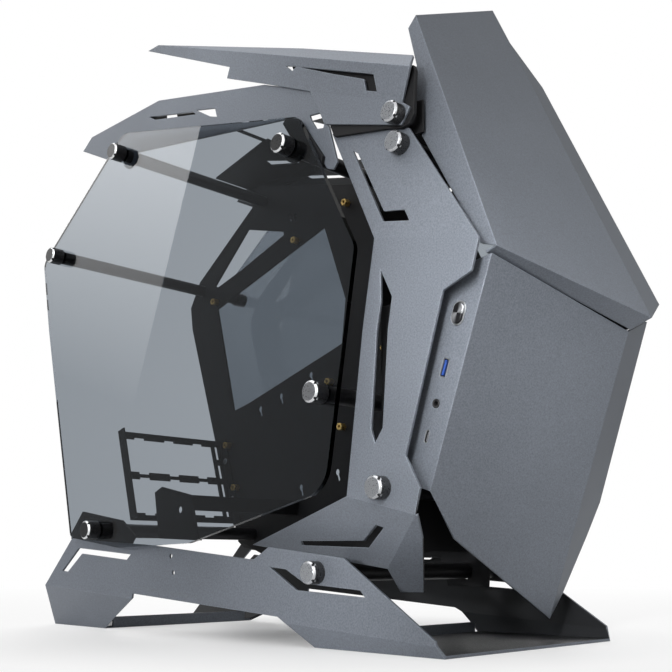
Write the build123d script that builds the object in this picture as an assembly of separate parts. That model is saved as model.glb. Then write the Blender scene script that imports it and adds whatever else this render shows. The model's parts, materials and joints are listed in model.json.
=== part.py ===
"""Open-frame micro-ATX computer case: folded steel armour, a tilted board tray and two clear glass sides.

Axes while building: X across the case (the left side, with the I/O strip, is -X), Y along it with the front at
-Y, Z up from the floor. Y is zero at the rear top corner of the board, until the last step moves the origin to
the middle of the footprint.
"""
import os
from math import atan2, cos, degrees, radians, sin

from build123d import *

# Widths: the pillars' outer faces lead, and the other plates stand a set distance outside or inside them
PILLAR_WIDTH = 209.0
GLASS_STAND_OFF = 8.0
BASE_INSET = 2.5
SHIELD_INSET = 12.0
SHOULDER_INSET = 23.0
GLASS_WIDTH = PILLAR_WIDTH + 2 * GLASS_STAND_OFF
BASE_WIDTH = PILLAR_WIDTH - 2 * BASE_INSET
SHIELD_WIDTH = PILLAR_WIDTH - 2 * SHIELD_INSET
SHIELD_SHOULDER_WIDTH = PILLAR_WIDTH - 2 * SHOULDER_INSET

# Sheet thicknesses and clearances
SKIN = 2.0
TRAY_SHEET = 2.0
GLASS = 4.0
LINK_SHEET = 3.0
BRACKET_SHEET = 1.5
FIT = 0.3
SEAT_GAP = 0.2

# Board tray: standard micro-ATX hole pattern, measured from the board's rear top corner
BOARD_TILT = 18.0
BOARD_CORNER_Z = 326.0
BOARD_FACE_X = 57.5
STANDOFF_HEIGHT = 6.5
STANDOFF_FLATS = 6.0
STANDOFF_THREAD = 3.0
BOARD_HOLES = [
    (33.02, 6.35), (165.10, 6.35), (237.49, 6.35),
    (10.16, 163.83), (165.10, 163.83), (237.49, 163.83),
    (10.16, 209.55), (165.10, 209.55),
]
SLOT_PITCH = 20.32
SLOT_FIRST_DROP = 158.0
SLOT_FRAME_REACH = 124.0
SLOT_FRAME_BAR = 7.0
SLOT_FRAME_SET_BACK = 2.0

# Rods and thumb knobs
ROD_RADIUS = 6.0
STUD_RADIUS = 3.0
STUD_LENGTH = 14.0
KNOB_RADIUS = 7.75
GLASS_KNOB_LENGTH = 12.0
FRAME_KNOB_LENGTH = 10.0
KNOB_BEVEL = 1.3
KNOB_NOTCH = 1.1
WASHER = 1.0
GLASS_RODS = [(-107.5, 426.0), (-7.0, 348.0), (-97.0, 83.5), (-371.5, 170.5), (-335.0, 364.0)]
FIN_ROD = (-436.5, 359.5)
NECK_ROD = (-436.0, 339.0)
FOOT_ROD = (-419.0, 104.0)
BASE_ROD = (-356.5, 50.0)

# Base: one sheet folded into two side plates, four leaning feet and two floor plates
BASE_FOLD_REAR = (2.5, 36.0)
BASE_FOLD_FRONT = (-458.5, 7.5)
FOOT_LEAN = 0.577
REAR_FLOOR = (17.0, -73.0)
FRONT_FLOOR = (-346.0, -462.0)
LIP_HEIGHT = 9.5
LIP_RELIEF = 8.0

# Pillars
PILLAR_FOLD_START = (-414.0, 275.0)
PILLAR_FOLD_END = (-502.0, 255.5)
PILLAR_LEAN = 0.07
TOE_REACH = 44.5

# Side glass: corners (y, z) and the radius of each
GLASS_CORNERS = [
    (-105.5, 448, 20), (-344, 386, 10), (-402.5, 270.5, 14), (-374, 104.5, 24), (-225, 71, 40), (-130, 68.5, 40),
    (-54, 78, 7), (7.5, 277.5, 20), (26, 348.5, 10),
]

# Board tray: outline, windows and keyholes (y, z)
TRAY_OUTLINE = [
    (-88.5, 424), (-98, 446), (-345, 384), (-398, 268), (-390, 160), (-378, 38), (-338, 38), (-332, 60),
    (-112, 64), (-78, 76), (-66, 99), (-44, 173), (-37, 178.5), (8.5, 307), (12.5, 332), (-2.5, 359),
]
COOLER_WINDOW = [(-197.5, 376.5), (-226, 298.5), (-221, 256), (-89, 214), (-66, 208.5), (-34.5, 322.5)]
CABLE_WINDOW = [(-82.5, 401.5), (-138, 386), (-139, 382), (-73, 358.5), (-34.5, 347), (-29.5, 349.5)]
KEYHOLES = [(-106.5, 206.5), (-137, 216), (-179, 232), (-166.5, 125.5), (-213, 137)]
KEYHOLE_HEAD = 3.0
KEYHOLE_TAIL = 1.7
KEYHOLE_DROP = 7.0
BARE_BOARD_HOLE = (165.10, 209.55)
STRAP_SLOTS = [(-147.5, 398.5), (-156.0, 396.5)]
STRAP_SLOT_SIZE = (3.5, 8.0)

# Front shields: corners (x, y, z) that set each facet's plane, and (x, z) corners that lie on those planes
CHEEK_X = PILLAR_WIDTH / 2 + 8.0
CHIN_CHEEK_X = PILLAR_WIDTH / 2
SHIELD_TOP_LEFT = (-SHIELD_SHOULDER_WIDTH / 2, -436.0, 446.0)
SHIELD_TOP_RIDGE = (29.5, 501.0)
SHIELD_NECK_RIDGE = (34.0, 468.5)
SHIELD_TOE_RIDGE = (60.0, -531.5, 227.0)
SHIELD_BOTTOM_LEFT = (-SHIELD_WIDTH / 2, -507.0, 251.5)
CHEEK_SHOULDER = (CHEEK_X - 36.0, 443.5)
CHEEK_CORNER = (CHEEK_X, -512.5, 250.0)
RETURN_RIDGE = (60.0, -514.6, 221.0)
RETURN_LEFT = (-SHIELD_WIDTH / 2, 248.6)
CHIN_TOP_LEFT = (-SHIELD_WIDTH / 2, -503.0, 247.5)
CHIN_TOP_RIDGE = (60.0, -513.0, 220.0)
CHIN_TOE = (56.5, 16.5)
CHIN_LOW_LEFT = (-59.5, 71.5)
CHIN_BOTTOM_LEFT = (-SHIELD_WIDTH / 2, -449.0, 101.0)
CHIN_CHEEK_CORNER = (CHIN_CHEEK_X, -505.5, 236.0)
CHIN_CHEEK_EDGE = [(CHIN_CHEEK_X + 5.0, 102.0), (CHIN_CHEEK_X - 7.0, 76.5), (CHIN_CHEEK_X - 31.5, 34.5)]
IO_STRIP_WIDTH = 42.0

# Controls on the I/O strip, each (distance behind the fold, height above the floor)
BUTTON_PLACE = (14.4, 213.0)
USB_A_PLACE = (14.5, 179.0)
JACK_PLACE = (14.0, 156.5)
USB_C_PLACE = (14.5, 136.0)
BUTTON_LENGTH = 14.0
BUTTON_WIDTH = 8.0
BUTTON_GAP = 0.25
BUTTON_DEPTH = 4.0
BUTTON_TRAVEL = 1.2
BEZEL_WALL = 0.9
BEZEL_PROUD = 0.8
HOUSING_WALL = 1.5
SWITCH_POST = 5.0
USB_A_LENGTH = 12.5
USB_A_WIDTH = 5.2
USB_C_LENGTH = 9.0
USB_C_WIDTH = 3.2
JACK_RADIUS = 3.0
JACK_BORE = 1.8
PORT_DEPTH = 12.0
PORT_PROUD = 0.3

# Brackets and links inside, (y, z) outlines
GLASS_ARM = [(-322, 389), (-326.5, 393), (-338, 388), (-364, 350.5), (-362, 343.5), (-353.5, 346), (-342.5, 357)]
GLASS_ARM_EAR = ROD_RADIUS + 4.5
SHIELD_LINK = [
    (-442, 395), (-450, 393), (-451.5, 389), (-449.5, 357), (-445, 351), (-438, 350), (-424, 354), (-373, 364),
    (-369, 373), (-372.5, 380), (-407.8, 371.8), (-403.5, 389), (-335, 418.5), (-326, 439), (-413, 404),
]
CORNER_BRACKET = [(-55, 101), (-34, 78), (-44, 71), (-128, 65.5), (-138.5, 78), (-118, 91.5)]
PSU_END_X = -60.0
PSU_END_PLATE = [(-108, 117.5), (-118.5, 122), (-161, 113), (-173.5, 74.5), (-116.5, 77)]
PSU_END_HOLE = (-146, 101)
PSU_ARM_Y = -161.0
PSU_ARM_HEIGHTS = (100.0, 113.0)
PSU_FOOT = 16.0
FAN_BRACKET_WIDTH = SHIELD_WIDTH - 2 * SKIN - 2 * SEAT_GAP
FAN_BRACKET_Y = -408.0
FAN_BRACKET_HEIGHTS = (64.0, 84.0, 395.0)
FAN_SIZE = 120.0
FAN_FIRST_Z = 168.0
FAN_HOLE_PITCH = 105.0
FAN_HOLE_RADIUS = 2.2
SCREW_RADIUS = 1.5
SCREW_HEAD_RADIUS = 2.9
SCREW_HEAD = 1.8
PSU_SCREW = (-153.0, 106.5)
SLOT_COLUMN = 14.0
SLOT_POST = 5.0
SLOT_FLANGE = 8.5

PARTS = {}


def solid_of(faces):
    """One closed solid from faces that share all their edges."""
    body = Solid(Shell(faces))
    if body.volume < 0:
        body = Solid(Shell([-face for face in faces]))
    return body


def facet_normal(corners):
    """Unit normal of a flat polygon whose corners run anticlockwise seen from outside."""
    total = Vector(0, 0, 0)
    for here, after in zip(corners, corners[1:] + corners[:1]):
        total = total + here.cross(after)
    return total.normalized()


def mitre(normals, thickness):
    """Step from a corner of the outer face to the same corner of the inner face."""
    if len(normals) == 1:
        return normals[0] * -thickness
    if len(normals) == 2:
        first, second = normals
        return (first + second) * (-thickness / (1 + first.dot(second)))
    first, second, third = normals[:3]
    cross_sum = second.cross(third) + third.cross(first) + first.cross(second)
    return cross_sum * (-thickness / first.dot(second.cross(third)))


def folded_sheet(points, facets, outside=(-1, 0, 0), thickness=SKIN):
    """Sheet metal folded along the shared edges of its facets, mitred inside each fold.

    points maps names to places on the outer face. Each facet lists point names, all wound the same way round, and
    outside is a direction that the first facet faces.
    """
    outer = {name: Vector(*place) for name, place in points.items()}
    if facet_normal([outer[name] for name in facets[0]]).dot(Vector(*outside)) < 0:
        facets = [facet[::-1] for facet in facets]
    normals = [facet_normal([outer[name] for name in facet]) for facet in facets]
    inner = {}
    for name in outer:
        around = []
        for facet, normal in zip(facets, normals):
            if name in facet and all(abs(normal.dot(known)) < 0.99999 for known in around):
                around.append(normal)
        inner[name] = outer[name] + mitre(around, thickness)
    edges = [(a, b) for facet in facets for a, b in zip(facet, facet[1:] + facet[:1])]
    faces = []
    for facet in facets:
        faces.append(polygon_face([outer[name] for name in facet]))
        faces.append(polygon_face([inner[name] for name in reversed(facet)]))
    for a, b in edges:
        if (b, a) not in edges:
            faces += rim_faces(outer[b], outer[a], inner[a], inner[b])
    return solid_of(faces)


def polygon_face(corners):
    return Face(Wire.make_polygon(corners, close=True))


def rim_faces(b, a, inner_a, inner_b):
    """The sheet's cut edge between two corners: one flat face, or two triangles where a mitre twists it."""
    twist = (a - b).cross(inner_b - b).dot(inner_a - b)
    if abs(twist) < 1e-6:
        return [polygon_face([b, a, inner_a, inner_b])]
    return [polygon_face([b, a, inner_a]), polygon_face([b, inner_a, inner_b])]


def leaning(start, end, lean):
    """Place a (y, z) point on the plane that holds a fold line and leans by lean mm of x for each mm above it."""
    def place(y, z):
        along = (y - start[1]) / (end[1] - start[1])
        fold_x = start[0] + along * (end[0] - start[0])
        fold_z = start[2] + along * (end[2] - start[2])
        return (fold_x + lean * (z - fold_z), y, z)
    return place


def on_plane(first, second, third):
    """Place a (y, z) point on the plane through three points that faces the side."""
    normal = (Vector(*second) - Vector(*first)).cross(Vector(*third) - Vector(*first)).normalized()

    def place(y, z):
        x = first[0] - (normal.Y * (y - first[1]) + normal.Z * (z - first[2])) / normal.X
        return (x, y, z)
    return place


def facing(first, second, third):
    """Place an (x, z) point on the plane through three points that faces the front."""
    normal = (Vector(*second) - Vector(*first)).cross(Vector(*third) - Vector(*first)).normalized()

    def place(x, z):
        y = first[1] - (normal.X * (x - first[0]) + normal.Z * (z - first[2])) / normal.Y
        return (x, y, z)
    return place


def plate(outline, x_from, x_to):
    """Flat plate in a plane square to X, from its (y, z) outline."""
    face = Plane.YZ.offset(x_from) * Polygon(*outline, align=None)
    return extrude(face, amount=x_to - x_from, dir=(1, 0, 0))


def rounded_plate(corners, x_from, x_to):
    """Flat plate in a plane square to X, from (y, z, corner radius) rows."""
    path = FilletPolyline(*[row[:2] for row in corners], radius=[row[2] for row in corners], close=True)
    return extrude(Plane.YZ.offset(x_from) * make_face(path), amount=x_to - x_from, dir=(1, 0, 0))


def rod(place, radius, x_from, x_to):
    """Round bar along X; place is (y, z)."""
    middle = (x_from + x_to) / 2
    return Pos(middle, place[0], place[1]) * Rot(0, 90, 0) * Cylinder(radius, abs(x_to - x_from))


def through(outline):
    """Cutter for a slot that runs right through a left side plate."""
    return plate(outline, -PILLAR_WIDTH / 2 - 20, -PILLAR_WIDTH / 2 + 40)


def round_bar(first, second, radius, x_from, x_to):
    """Flat bar with two round ends, from one (y, z) place to another."""
    run_y = second[0] - first[0]
    run_z = second[1] - first[1]
    middle = Pos((first[0] + second[0]) / 2, (first[1] + second[1]) / 2)
    length = (run_y ** 2 + run_z ** 2) ** 0.5
    sketch = middle * Rot(0, 0, degrees(atan2(run_z, run_y))) * SlotCenterToCenter(length, 2 * radius)
    return extrude(Plane.YZ.offset(x_from) * sketch, amount=x_to - x_from)


def group(bodies):
    """Several separate solids kept as one node."""
    return Compound([solid for body in bodies for solid in body.solids()])


def both_sides(name, body):
    """Keep a left piece and its mirror image as two nodes."""
    PARTS["left_" + name] = body
    PARTS["right_" + name] = mirror(body, about=Plane.YZ)


def knob(place, seat_x, length):
    """Thumb knob that seats at seat_x and points to -X: bevelled cap, notched rim, plain stud."""
    cap_x = seat_x - length
    body = rod(place, KNOB_RADIUS, seat_x, cap_x)
    body = chamfer(body.faces().sort_by(Axis.X)[0].edges(), KNOB_BEVEL)
    for turn in (45, 135, 225, 315):
        notch_y = place[0] + KNOB_RADIUS * cos(radians(turn))
        notch_z = place[1] + KNOB_RADIUS * sin(radians(turn))
        body -= rod((notch_y, notch_z), KNOB_NOTCH, cap_x, cap_x + 3 * KNOB_NOTCH)
    return body + rod(place, STUD_RADIUS, seat_x, seat_x + STUD_LENGTH)


def tie_rod(place, end_x):
    """Rod across the case between the plates, bored at both ends for the knob studs."""
    body = rod(place, ROD_RADIUS, -end_x, end_x)
    depth = STUD_LENGTH + 2
    body -= rod(place, STUD_RADIUS + FIT, -end_x, -end_x + depth)
    return body - rod(place, STUD_RADIUS + FIT, end_x - depth, end_x)


def board_point(behind_front, drop):
    """(y, z) of a point on the tilted board, from its distances to the rear and top edges."""
    tilt = radians(BOARD_TILT)
    y = -behind_front * cos(tilt) - drop * sin(tilt)
    z = BOARD_CORNER_Z + behind_front * sin(tilt) - drop * cos(tilt)
    return (y, z)


def chin_fold_y(z):
    """Y of the lower shield's left fold at a height."""
    rise = (z - CHIN_BOTTOM_LEFT[2]) / (CHIN_TOP_LEFT[2] - CHIN_BOTTOM_LEFT[2])
    return CHIN_BOTTOM_LEFT[1] + rise * (CHIN_TOP_LEFT[1] - CHIN_BOTTOM_LEFT[1])


def on_strip(place):
    """(y, z) on the I/O strip."""
    return (chin_fold_y(place[1]) + place[0], place[1])


# Base
def make_base():
    side = BASE_WIDTH / 2
    rear = (-side, *BASE_FOLD_REAR)
    front = (-side, *BASE_FOLD_FRONT)
    upright = leaning(rear, front, 0.0)
    foot = leaning(rear, front, -FOOT_LEAN)

    def fold(y):
        z = BASE_FOLD_REAR[1] + (y - BASE_FOLD_REAR[0]) * (BASE_FOLD_FRONT[1] - BASE_FOLD_REAR[1]) / (
            BASE_FOLD_FRONT[0] - BASE_FOLD_REAR[0])
        return upright(y, z)

    left = {
        "a0": fold(BASE_FOLD_REAR[0]), "a1": upright(-39.5, 77.5), "a2": upright(-160.5, 70.5),
        "a3": upright(-285, 59), "a4": upright(-291, 59), "a5": upright(-306.5, 67.5), "a6": upright(-381.5, 59.5),
        "a7": upright(-458, 10.5), "b1": fold(BASE_FOLD_FRONT[0]), "b0": fold(-324), "a8": upright(-317, 19.5),
        "a9": upright(-138, 31.5), "b2": fold(-137.5),
        "c0": foot(REAR_FLOOR[0], 0), "c1": foot(REAR_FLOOR[1], 0),
        "d0": foot(FRONT_FLOOR[0], 0), "d1": foot(FRONT_FLOOR[1], 0),
    }
    rear_lip = abs(left["c1"][0]) - LIP_RELIEF
    front_lip = abs(left["d0"][0]) - LIP_RELIEF
    points = {}
    for name, (x, y, z) in left.items():
        points["l_" + name] = (x, y, z)
        points["r_" + name] = (-x, y, z)
    for sign, end in ((-1, "l_"), (1, "r_")):
        points[end + "e0"] = (sign * rear_lip, REAR_FLOOR[1], 0)
        points[end + "e1"] = (sign * rear_lip, REAR_FLOOR[1], LIP_HEIGHT)
        points[end + "f0"] = (sign * front_lip, FRONT_FLOOR[0], 0)
        points[end + "f1"] = (sign * front_lip, FRONT_FLOOR[0], LIP_HEIGHT)
    side_plate = ["a0", "a1", "a2", "a3", "a4", "a5", "a6", "a7", "b1", "b0", "a8", "a9", "b2"]
    rear_foot = ["a0", "b2", "c1", "c0"]
    front_foot = ["b0", "b1", "d1", "d0"]
    facets = []
    for part in (side_plate, rear_foot, front_foot):
        facets.append(["l_" + name for name in part])
        facets.append(["r_" + name for name in reversed(part)])
    facets.append(["l_c0", "l_c1", "l_e0", "r_e0", "r_c1", "r_c0"])
    facets.append(["l_d0", "l_d1", "r_d1", "r_d0", "r_f0", "l_f0"])
    facets.append(["l_e1", "r_e1", "r_e0", "l_e0"])
    facets.append(["l_f0", "r_f0", "r_f1", "l_f1"])
    body = folded_sheet(points, facets)
    chevron = [(-26, 49), (-51.5, 69), (-133.5, 63), (-128, 58.5), (-58, 64), (-35.5, 48)]
    step = [(-308, 53.5), (-325, 52), (-344.5, 42.5), (-396.5, 39), (-401, 34.5), (-336, 38)]
    for outline in (chevron, step):
        cutter = through(outline)
        body -= cutter
        body -= mirror(cutter, about=Plane.YZ)
    for place, radius in ((BASE_ROD, STUD_RADIUS + FIT), ((-189.5, 61.5), 2.0), ((-193.5, 48.5), 2.0)):
        body -= rod(place, radius, -BASE_WIDTH, BASE_WIDTH)
    PARTS["base"] = body


# Pillars, fins and wings
def make_pillars():
    outer = -PILLAR_WIDTH / 2
    fold_start = (outer, *PILLAR_FOLD_START)
    fold_end = (outer, *PILLAR_FOLD_END)
    shelf_start = (outer, -387.0, 100.0)
    shelf_end = (outer, -446.5, 86.0)
    upper = leaning(fold_start, fold_end, PILLAR_LEAN)
    shelf = leaning(shelf_start, shelf_end, -0.56)
    points = {
        "p0": fold_start, "p1": fold_end, "p2": upper(-442, 350), "p3": upper(-367.5, 369),
        "q0": (outer, -495.5, 235.0), "q1": (outer, -472.5, 226.5), "q2": (outer, -439.0, 123.5),
        "q3": (outer, -450.5, 102.5), "q4": shelf_end, "q5": shelf_start, "q6": (outer, -402.5, 212.0),
        "s0": shelf(-401, 52.5), "s1": shelf(-252, 70.0),
    }
    toe = on_plane(shelf_end, points["s0"], (outer + TOE_REACH, -415.5, 34.0))
    points["t0"] = toe(-447.6, 85.5)
    points["t1"] = toe(-441.0, 71.0)
    points["t2"] = toe(-417.7, 37.4)
    points["t3"] = toe(-399.8, 37.2)
    facets = [
        ["p0", "p3", "p2", "p1"],
        ["p0", "p1", "q0", "q1", "q2", "q3", "q4", "q5", "q6"],
        ["q5", "q4", "s0", "s1"],
        ["q4", "t0", "t1", "t2", "t3", "s0"],
    ]
    body = folded_sheet(points, facets)
    hook = [(-389.5, 348.5), (-395, 344.5), (-422, 293), (-440.5, 289.5), (-445, 280.5), (-421.5, 285.5)]
    groove = [(-419.5, 251.5), (-429.5, 230.5), (-425.5, 208.5), (-420, 143), (-413, 133.5), (-409.5, 143),
              (-415.5, 209.5), (-419.5, 229)]
    shelf_slot = [(-316, 69.0), (-316, 72.0), (-387, 71.0), (-405.5, 81.0), (-412.5, 79.0), (-390, 66.5)]
    for outline in (hook, groove, shelf_slot):
        body -= through(outline)
    for place in (NECK_ROD, FOOT_ROD):
        body -= rod(place, STUD_RADIUS + FIT, outer - 10, outer + 20)
    both_sides("pillar", body)


def make_fins():
    outer = -PILLAR_WIDTH / 2
    low_start = (outer, -349.0, 408.0)
    low_end = (outer, -441.0, 367.5)
    band = leaning(low_start, low_end, -0.14)
    tip = band(-151.0, 522.5)
    nose = band(-451.5, 389.5)
    crest = leaning(tip, nose, 0.62)
    points = {
        "a0": low_start, "a1": low_end, "a2": (outer, -448.0, 362.0), "a3": (outer, -440.0, 351.0),
        "a4": (outer, -365.5, 375.5),
        "b0": tip, "b1": band(-133.5, 523.5), "b2": band(-253.5, 463.0), "b3": band(-248.5, 455.0),
        "b4": band(-294.0, 434.0), "b5": band(-450.0, 386.5), "b6": nose,
        "c0": crest(-338.0, 449.0), "c1": crest(-449.5, 401.0),
    }
    facets = [
        ["a0", "a1", "a2", "a3", "a4"],
        ["b0", "b6", "b5", "a1", "a0", "b4", "b3", "b2", "b1"],
        ["b0", "c0", "c1", "b6"],
    ]
    body = folded_sheet(points, facets)
    body -= through([(-324, 437.5), (-336.5, 432.5), (-331, 430.5)])
    body -= through([(-338, 431.5), (-417, 396.5), (-418.5, 383), (-408, 387.5), (-407, 396.5), (-377.5, 411)])
    body -= rod(FIN_ROD, STUD_RADIUS + FIT, outer - 10, outer + 20)
    both_sides("roof_fin", body)


def make_wings():
    outer = -PILLAR_WIDTH / 2 + SKIN + SEAT_GAP
    outline = [
        (-19, 459), (-34, 469.5), (-147, 470.5), (-293.5, 434), (-400, 387), (-406, 374), (-358, 385.5),
        (-367, 374.5), (-376, 343), (-372, 338.5), (-365.5, 341), (-334, 390), (-327, 393), (-122, 427),
        (-66, 436),
    ]
    body = plate(outline, outer, outer + SKIN)
    ear_radius = ROD_RADIUS + 5
    body += rod(GLASS_RODS[0], ear_radius, outer, outer + SKIN)
    body -= rod(GLASS_RODS[0], ROD_RADIUS + FIT, outer, outer + SKIN)
    body -= through([(-132.5, 459), (-199, 442), (-203.5, 438), (-142, 453)])
    body -= through([(-203.5, 442), (-230, 435), (-233, 426), (-223.5, 429.5)])
    body -= through([(-346.5, 389.5), (-358, 388), (-362.5, 377.5), (-361.5, 374.5), (-354, 376), (-348, 385.5)])
    both_sides("rear_wing", body)


# Front shields
def shield_face():
    return facing(SHIELD_BOTTOM_LEFT, SHIELD_TOE_RIDGE, SHIELD_TOP_LEFT)


def shield_cheek():
    """Plane of the upper shield's folded right edge."""
    return facing(SHIELD_TOE_RIDGE, CHEEK_CORNER, shield_face()(*SHIELD_NECK_RIDGE))


def chin_face():
    return facing(CHIN_TOP_LEFT, CHIN_BOTTOM_LEFT, CHIN_TOP_RIDGE)


def chin_cheek():
    """Plane of the lower shield's folded right edge."""
    return facing(CHIN_TOP_RIDGE, chin_face()(*CHIN_TOE), CHIN_CHEEK_CORNER)


def make_upper_shield():
    face = shield_face()
    lean = (SHIELD_WIDTH - SHIELD_SHOULDER_WIDTH) / 2 / (SHIELD_TOP_LEFT[2] - SHIELD_BOTTOM_LEFT[2])

    def flange(y, z):
        return (SHIELD_BOTTOM_LEFT[0] + lean * (z - SHIELD_BOTTOM_LEFT[2]), y, z)

    points = {
        "d": SHIELD_BOTTOM_LEFT, "a": SHIELD_TOP_LEFT, "b": face(*SHIELD_TOP_RIDGE), "n": face(*SHIELD_NECK_RIDGE),
        "c": SHIELD_TOE_RIDGE,
        "f0": flange(-429, 438), "f1": flange(-438, 404), "f2": flange(-423, 372), "f3": flange(-423, 350),
        "f4": flange(-442.5, 350), "f5": flange(-494.5, 256),
        "g0": shield_cheek()(*CHEEK_SHOULDER), "g1": CHEEK_CORNER,
        "k0": facing(SHIELD_BOTTOM_LEFT, SHIELD_TOE_RIDGE, RETURN_RIDGE)(*RETURN_LEFT), "k1": RETURN_RIDGE,
    }
    facets = [
        ["d", "c", "n", "b", "a"],
        ["d", "a", "f0", "f1", "f2", "f3", "f4", "f5"],
        ["n", "c", "g1", "g0"],
        ["c", "d", "k0", "k1"],
    ]
    body = folded_sheet(points, facets, outside=(0, -1, 0))
    body -= rod(FIN_ROD, ROD_RADIUS + FIT, -SHIELD_WIDTH / 2, -SHIELD_WIDTH / 4)
    PARTS["upper_front_shield"] = body


def make_lower_shield():
    left = -SHIELD_WIDTH / 2
    face = chin_face()
    cheek = chin_cheek()
    points = {
        "d": CHIN_TOP_LEFT, "c": CHIN_TOP_RIDGE, "t": face(*CHIN_TOE), "f": face(*CHIN_LOW_LEFT),
        "e": CHIN_BOTTOM_LEFT,
        "s0": (left, -441.0, 103.5), "s1": (left, -430.0, 121.0), "s2": (left, -418.0, 130.0),
        "s3": (left, chin_fold_y(240) + IO_STRIP_WIDTH, 240.0),
        "h0": CHIN_CHEEK_CORNER,
    }
    for index, place in enumerate(CHIN_CHEEK_EDGE):
        points["h%d" % (index + 1)] = cheek(*place)
    facets = [
        ["d", "e", "f", "t", "c"],
        ["d", "s3", "s2", "s1", "s0", "e"],
        ["c", "t", "h3", "h2", "h1", "h0"],
    ]
    body = folded_sheet(points, facets, outside=(0, -1, 0))
    inner = left + SKIN + 1
    body -= pill(BUTTON_PLACE, bezel_size(0.1), left - 1, inner)
    body -= pill(USB_C_PLACE, (USB_C_LENGTH + 0.2, USB_C_WIDTH + 0.2), left - 1, inner)
    body -= strip_box(USB_A_PLACE, (USB_A_LENGTH + 0.2, USB_A_WIDTH + 0.2), left - 1, inner)
    body -= rod(on_strip(JACK_PLACE), JACK_RADIUS + 0.1, left - 1, inner)
    PARTS["lower_front_shield"] = body


# Controls on the I/O strip
def on_strip_plane(place, sketch, x_from, x_to):
    """Extrude a sketch whose local X runs up the strip, centred on a strip place."""
    rise = CHIN_TOP_LEFT[2] - CHIN_BOTTOM_LEFT[2]
    run = CHIN_TOP_LEFT[1] - CHIN_BOTTOM_LEFT[1]
    placed = Pos(*on_strip(place)) * Rot(0, 0, degrees(atan2(rise, run))) * sketch
    return extrude(Plane.YZ.offset(x_from) * placed, amount=x_to - x_from)


def pill(place, size, x_from, x_to):
    """Bar of stadium section whose long side lies along the strip."""
    return on_strip_plane(place, SlotOverall(size[0], size[1]), x_from, x_to)


def strip_box(place, size, x_from, x_to):
    return on_strip_plane(place, Rectangle(size[0], size[1]), x_from, x_to)


def bezel_size(grow=0.0):
    """Length and width over the bezel ring."""
    border = 2 * (BUTTON_GAP + BEZEL_WALL + grow)
    return (BUTTON_LENGTH + border, BUTTON_WIDTH + border)


def make_button():
    skin_x = -SHIELD_WIDTH / 2
    inner_x = skin_x + SKIN
    bezel_x = skin_x - BEZEL_PROUD
    bore = (BUTTON_LENGTH + 2 * BUTTON_GAP, BUTTON_WIDTH + 2 * BUTTON_GAP)
    bezel = pill(BUTTON_PLACE, bezel_size(), bezel_x, inner_x + 2)
    PARTS["button_bezel"] = bezel - pill(BUTTON_PLACE, bore, bezel_x, inner_x + 2)
    button_back = inner_x + BUTTON_DEPTH
    button = pill(BUTTON_PLACE, (BUTTON_LENGTH, BUTTON_WIDTH), bezel_x - BUTTON_TRAVEL, button_back)
    PARTS["power_button"] = chamfer(button.faces().sort_by(Axis.X)[0].edges(), 0.4)
    post_x = button_back + BUTTON_TRAVEL + FIT
    floor_x = post_x + SWITCH_POST
    housing = pill(BUTTON_PLACE, bezel_size(HOUSING_WALL + FIT), inner_x, floor_x + HOUSING_WALL)
    housing -= pill(BUTTON_PLACE, bezel_size(FIT), inner_x, floor_x)
    PARTS["switch_housing"] = housing + rod(on_strip(BUTTON_PLACE), STUD_RADIUS / 2, post_x, floor_x)


def make_ports():
    skin_x = -SHIELD_WIDTH / 2
    front = skin_x - PORT_PROUD
    back = skin_x + PORT_DEPTH
    shell = strip_box(USB_A_PLACE, (USB_A_LENGTH, USB_A_WIDTH), front, back)
    PARTS["usb_a_shell"] = shell - strip_box(USB_A_PLACE, (USB_A_LENGTH - 1, USB_A_WIDTH - 1), front, back - 1)
    blade = Pos(0, -0.9) * Rectangle(USB_A_LENGTH - 2.4, 1.8)
    PARTS["usb_a_tongue"] = on_strip_plane(USB_A_PLACE, blade, skin_x + 0.6, back - 1)
    shell = pill(USB_C_PLACE, (USB_C_LENGTH, USB_C_WIDTH), front, back)
    shell -= pill(USB_C_PLACE, (USB_C_LENGTH - 0.8, USB_C_WIDTH - 0.8), front, back - 1)
    PARTS["usb_c_shell"] = shell + strip_box(USB_C_PLACE, (USB_C_LENGTH - 2.6, 0.7), skin_x + 0.6, back - 1)
    jack = rod(on_strip(JACK_PLACE), JACK_RADIUS, front, back)
    PARTS["audio_jack"] = jack - rod(on_strip(JACK_PLACE), JACK_BORE, front, back - 1)
    middle = ((USB_A_PLACE[0] + USB_C_PLACE[0]) / 2, (USB_A_PLACE[1] + USB_C_PLACE[1]) / 2)
    span = USB_A_PLACE[1] - USB_C_PLACE[1] + 1.6 * USB_A_LENGTH
    PARTS["io_board"] = strip_box(middle, (span, 14), back + SEAT_GAP, back + SEAT_GAP + 1.6)


# Side glass with its washers, knobs and rods
def make_glass():
    outer = -GLASS_WIDTH / 2
    body = rounded_plate(GLASS_CORNERS, outer, outer + GLASS)
    washers = []
    knobs = []
    rods = []
    for place in GLASS_RODS:
        body -= rod(place, STUD_RADIUS + 0.5, outer, outer + GLASS)
        for seat in (outer - WASHER, outer + GLASS):
            ring = rod(place, ROD_RADIUS, seat, seat + WASHER)
            washers.append(ring - rod(place, STUD_RADIUS + FIT, seat, seat + WASHER))
        knobs.append(knob(place, outer - WASHER, GLASS_KNOB_LENGTH))
        rods.append(tie_rod(place, -outer - GLASS - WASHER))
    washers += [mirror(ring, about=Plane.YZ) for ring in washers]
    both_sides("glass", body)
    both_sides("glass_knobs", group(knobs))
    PARTS["glass_washers"] = group(washers)
    PARTS["glass_rods"] = group(rods)


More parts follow.
